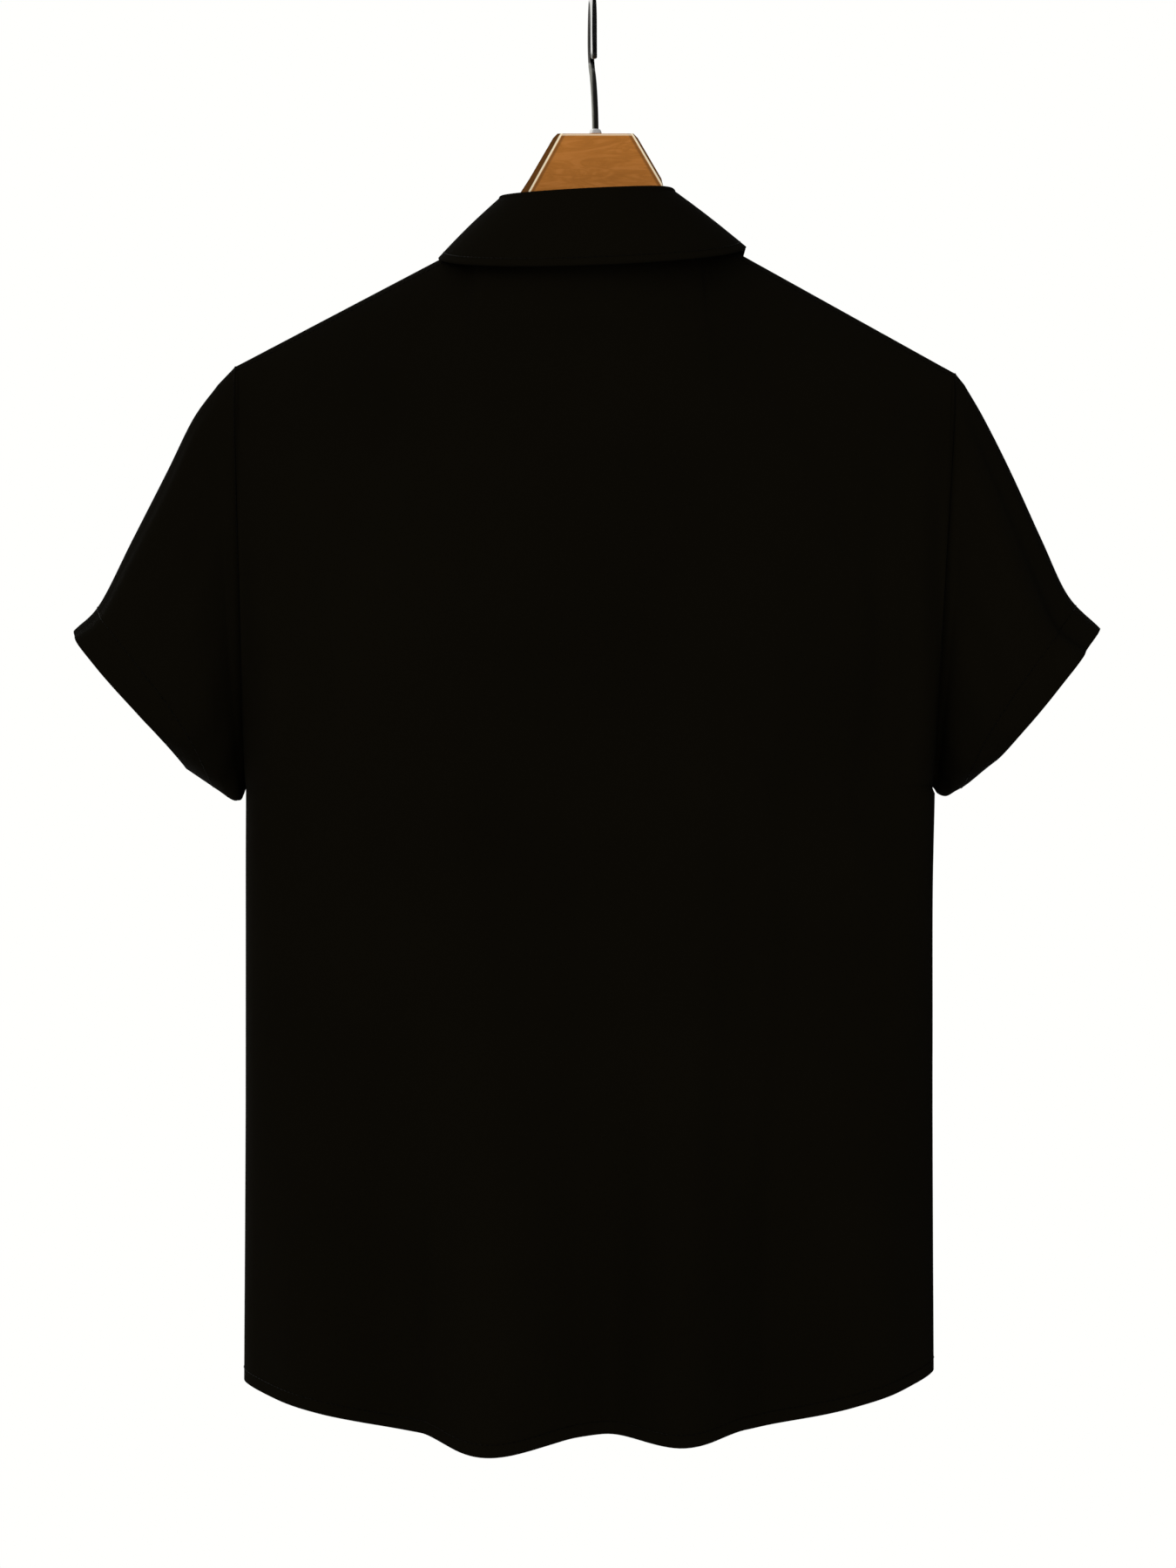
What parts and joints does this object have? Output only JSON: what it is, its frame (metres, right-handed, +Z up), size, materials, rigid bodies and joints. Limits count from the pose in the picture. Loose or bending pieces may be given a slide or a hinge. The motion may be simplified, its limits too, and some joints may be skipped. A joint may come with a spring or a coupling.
{
  "type": "short-sleeve button-down shirt on a wooden hanger",
  "caption": "Short-sleeve shirt with a turned-down collar and a buttoned front, hanging open at neck, sleeves and hem on a wooden hanger with a wire hook.",
  "frame": {"origin": "the top of the inside of the hanger's hook, where a rail carries it", "axes": "+Z up; +X towards the wearer's right sleeve; the front of the shirt faces +Y and its back -Y"},
  "size_m": [0.6345, 0.1881, 0.8901],
  "materials": {
    "shirting": "matt plain-woven black shirting",
    "button": "black, turned, satin",
    "wood": "warm brown, clear varnish",
    "ferrule": "bright nickel plating",
    "hook_wire": "drawn wire, plated"
  },
  "bodies": {
    "root": {"back": "shirting", "left_front": "shirting", "right_front": "shirting", "left_sleeve": "shirting", "right_sleeve": "shirting", "collar_stand": "shirting", "collar_leaf": "shirting", "button_1": "button", "button_2": "button", "button_3": "button", "button_4": "button", "button_5": "button", "button_6": "button", "button_7": "button", "hanger_body": "wood", "hanger_ferrule": "ferrule", "hanger_hook": "hook_wire"}
  },
  "joints": []
}
